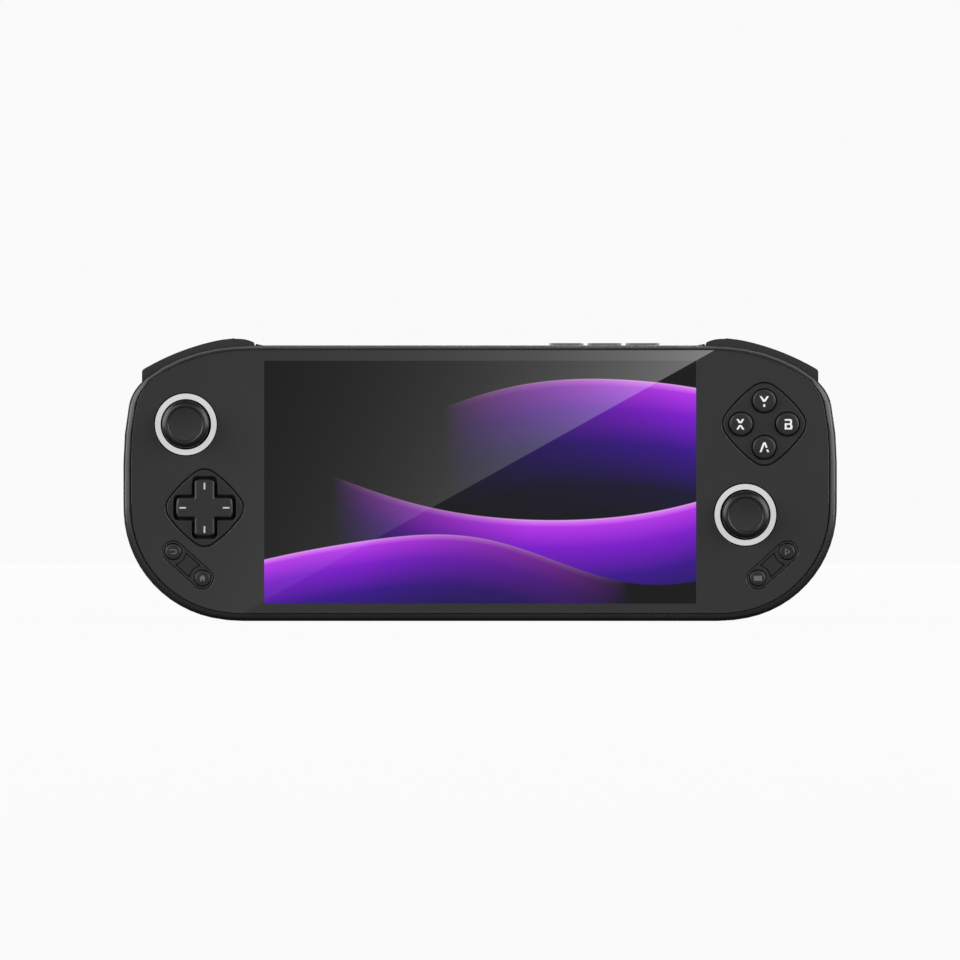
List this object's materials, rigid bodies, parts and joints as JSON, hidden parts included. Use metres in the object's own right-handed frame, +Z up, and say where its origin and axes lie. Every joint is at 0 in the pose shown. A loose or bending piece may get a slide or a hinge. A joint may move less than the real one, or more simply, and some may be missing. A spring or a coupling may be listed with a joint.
{
  "type": "handheld game console",
  "caption": "Flat rounded handheld game console with a wide screen between thumb sticks, a direction pad, face buttons, function keys, shoulder buttons and triggers.",
  "frame": {"origin": "middle of the flat bottom edge, halfway through the body's thickness", "axes": "+X along the bottom edge to the right as the screen is seen, +Y into the screen towards the back, +Z up to the top edge"},
  "size_m": [0.2014, 0.0206, 0.0801],
  "materials": {
    "panel_glass": "smooth dark glass-like panel",
    "screen": "lit display",
    "frame_shell": "dark grey, finely textured",
    "rear_shell": "dark grey, finely textured",
    "bezel_plastic": "dark satin",
    "button_plastic": "dark satin with light marks",
    "cap_rubber": "dark matte rubber",
    "ring_plastic": "translucent white",
    "membrane_rubber": "grey silicone",
    "top_key_plastic": "mid grey satin",
    "board": "green laminate",
    "bracket_plastic": "black, as moulded",
    "steel": "bright steel",
    "black_steel": "blackened screws",
    "graphite_copper": "copper sheet",
    "cell_wrap": "black wrap",
    "white_plastic": "natural white"
  },
  "bodies": {
    "case": {"front_panel": "panel_glass", "display": "screen", "mid_frame": "frame_shell", "rear_cover": "rear_shell", "rear_screws": "black_steel", "left_bracket": "bracket_plastic", "right_bracket": "bracket_plastic", "left_ring": "ring_plastic", "right_ring": "ring_plastic", "dpad_bezel": "bezel_plastic", "face_bezel": "bezel_plastic", "left_key_bezel": "bezel_plastic", "right_key_bezel": "bezel_plastic", "dpad_membrane": "membrane_rubber", "face_membrane": "membrane_rubber", "left_key_membrane": "membrane_rubber", "right_key_membrane": "membrane_rubber", "left_board": "board", "right_board": "board", "top_key_board": "board", "main_board": "board", "shoulder_pins": "steel", "usb_port": "steel", "board_screws": "steel", "heat_spreader": "graphite_copper", "battery": "cell_wrap", "speakers": "bracket_plastic", "left_stick_housing": "steel", "left_stick_spring": "steel", "left_trigger_bracket": "steel", "left_trigger_spring": "steel", "right_stick_housing": "steel", "right_stick_spring": "steel", "right_trigger_bracket": "steel", "right_trigger_spring": "steel"},
    "left_stick_gimbal": {"left_stick_gimbal": "bracket_plastic"},
    "left_stick_hub": {"left_stick_hub": "white_plastic"},
    "left_stick": {"left_stick_cap": "cap_rubber", "left_stick_shaft": "steel"},
    "right_stick_gimbal": {"right_stick_gimbal": "bracket_plastic"},
    "right_stick_hub": {"right_stick_hub": "white_plastic"},
    "right_stick": {"right_stick_cap": "cap_rubber", "right_stick_shaft": "steel"},
    "dpad_fulcrum": {"dpad_fulcrum": "white_plastic"},
    "dpad_cap": {"dpad_cap": "button_plastic"},
    "button_south": {"button_south": "button_plastic"},
    "button_east": {"button_east": "button_plastic"},
    "button_west": {"button_west": "button_plastic"},
    "button_north": {"button_north": "button_plastic"},
    "back_key": {"back_key": "button_plastic"},
    "home_key": {"home_key": "button_plastic"},
    "menu_key": {"menu_key": "button_plastic"},
    "start_key": {"start_key": "button_plastic"},
    "power_key": {"power_key": "top_key_plastic"},
    "volume_up_key": {"volume_up_key": "top_key_plastic"},
    "volume_down_key": {"volume_down_key": "top_key_plastic"},
    "left_bumper": {"left_bumper": "button_plastic"},
    "left_trigger": {"left_trigger": "button_plastic"},
    "right_bumper": {"right_bumper": "button_plastic"},
    "right_trigger": {"right_trigger": "button_plastic"}
  },
  "joints": [
    {"name": "left_stick_up_down", "type": "hinge", "parent": "case", "child": "left_stick_gimbal", "pos_m": [-0.083, -0.0023, 0.0555], "axis": [1, 0, 0], "range_deg": [-13, 13], "stiffness_Nm_per_rad": 0.05, "deforming": ["left_stick_spring"]},
    {"name": "left_stick_side_to_side", "type": "hinge", "parent": "left_stick_gimbal", "child": "left_stick_hub", "pos_m": [-0.083, -0.0023, 0.0555], "axis": [0, 0, 1], "range_deg": [-13, 13], "stiffness_Nm_per_rad": 0.05, "deforming": ["left_stick_spring"]},
    {"name": "left_stick_click", "type": "slide", "parent": "left_stick_hub", "child": "left_stick", "axis": [0, 1, 0], "range_m": [0, 0.00035], "stiffness_N_per_m": 4000, "springref_m": -0.0003},
    {"name": "right_stick_up_down", "type": "hinge", "parent": "case", "child": "right_stick_gimbal", "pos_m": [0.0748, -0.0023, 0.03], "axis": [1, 0, 0], "range_deg": [-13, 13], "stiffness_Nm_per_rad": 0.05, "deforming": ["right_stick_spring"]},
    {"name": "right_stick_side_to_side", "type": "hinge", "parent": "right_stick_gimbal", "child": "right_stick_hub", "pos_m": [0.0748, -0.0023, 0.03], "axis": [0, 0, 1], "range_deg": [-13, 13], "stiffness_Nm_per_rad": 0.05, "deforming": ["right_stick_spring"]},
    {"name": "right_stick_click", "type": "slide", "parent": "right_stick_hub", "child": "right_stick", "axis": [0, 1, 0], "range_m": [0, 0.00035], "stiffness_N_per_m": 4000, "springref_m": -0.0003},
    {"name": "dpad_up_down", "type": "hinge", "parent": "case", "child": "dpad_fulcrum", "pos_m": [-0.0777, -0.00335, 0.03186], "axis": [1, 0, 0], "range_deg": [-3.5, 3.5], "stiffness_Nm_per_rad": 0.2, "deforming": ["dpad_membrane"]},
    {"name": "dpad_side_to_side", "type": "hinge", "parent": "dpad_fulcrum", "child": "dpad_cap", "pos_m": [-0.0777, -0.00335, 0.03186], "axis": [0, 0, 1], "range_deg": [-3.5, 3.5], "stiffness_Nm_per_rad": 0.2, "deforming": ["dpad_membrane"]},
    {"name": "button_south_press", "type": "slide", "parent": "case", "child": "button_south", "axis": [0, 1, 0], "range_m": [0, 0.001], "stiffness_N_per_m": 500, "springref_m": -0.0004, "deforming": ["face_membrane"]},
    {"name": "button_east_press", "type": "slide", "parent": "case", "child": "button_east", "axis": [0, 1, 0], "range_m": [0, 0.001], "stiffness_N_per_m": 500, "springref_m": -0.0004, "deforming": ["face_membrane"]},
    {"name": "button_west_press", "type": "slide", "parent": "case", "child": "button_west", "axis": [0, 1, 0], "range_m": [0, 0.001], "stiffness_N_per_m": 500, "springref_m": -0.0004, "deforming": ["face_membrane"]},
    {"name": "button_north_press", "type": "slide", "parent": "case", "child": "button_north", "axis": [0, 1, 0], "range_m": [0, 0.001], "stiffness_N_per_m": 500, "springref_m": -0.0004, "deforming": ["face_membrane"]},
    {"name": "back_key_press", "type": "slide", "parent": "case", "child": "back_key", "axis": [0, 1, 0], "range_m": [0, 0.0004], "stiffness_N_per_m": 1200, "springref_m": -0.0003, "deforming": ["left_key_membrane"]},
    {"name": "home_key_press", "type": "slide", "parent": "case", "child": "home_key", "axis": [0, 1, 0], "range_m": [0, 0.0004], "stiffness_N_per_m": 1200, "springref_m": -0.0003, "deforming": ["left_key_membrane"]},
    {"name": "menu_key_press", "type": "slide", "parent": "case", "child": "menu_key", "axis": [0, 1, 0], "range_m": [0, 0.0004], "stiffness_N_per_m": 1200, "springref_m": -0.0003, "deforming": ["right_key_membrane"]},
    {"name": "start_key_press", "type": "slide", "parent": "case", "child": "start_key", "axis": [0, 1, 0], "range_m": [0, 0.0004], "stiffness_N_per_m": 1200, "springref_m": -0.0003, "deforming": ["right_key_membrane"]},
    {"name": "power_key_press", "type": "slide", "parent": "case", "child": "power_key", "axis": [0, 0, -1], "range_m": [0, 0.0004], "stiffness_N_per_m": 1500, "springref_m": -0.0004},
    {"name": "volume_up_key_press", "type": "slide", "parent": "case", "child": "volume_up_key", "axis": [0, 0, -1], "range_m": [0, 0.0004], "stiffness_N_per_m": 1500, "springref_m": -0.0004},
    {"name": "volume_down_key_press", "type": "slide", "parent": "case", "child": "volume_down_key", "axis": [0, 0, -1], "range_m": [0, 0.0004], "stiffness_N_per_m": 1500, "springref_m": -0.0004},
    {"name": "left_bumper_press", "type": "hinge", "parent": "case", "child": "left_bumper", "pos_m": [-0.0619, -0.002, 0.0726], "axis": [0, -1, 0], "range_deg": [0, 2.5], "stiffness_Nm_per_rad": 0.6, "springref_deg": -1.72},
    {"name": "left_trigger_pull", "type": "hinge", "parent": "case", "child": "left_trigger", "pos_m": [-0.0795, 0.0026, 0.073], "axis": [-0.9563, 0, -0.2924], "range_deg": [0, 12], "stiffness_Nm_per_rad": 0.06, "springref_deg": -5.73, "deforming": ["left_trigger_spring"]},
    {"name": "right_bumper_press", "type": "hinge", "parent": "case", "child": "right_bumper", "pos_m": [0.0619, -0.002, 0.0726], "axis": [0, 1, 0], "range_deg": [0, 2.5], "stiffness_Nm_per_rad": 0.6, "springref_deg": -1.72},
    {"name": "right_trigger_pull", "type": "hinge", "parent": "case", "child": "right_trigger", "pos_m": [0.0795, 0.0026, 0.073], "axis": [-0.9563, 0, 0.2924], "range_deg": [0, 12], "stiffness_Nm_per_rad": 0.06, "springref_deg": -5.73, "deforming": ["right_trigger_spring"]}
  ]
}
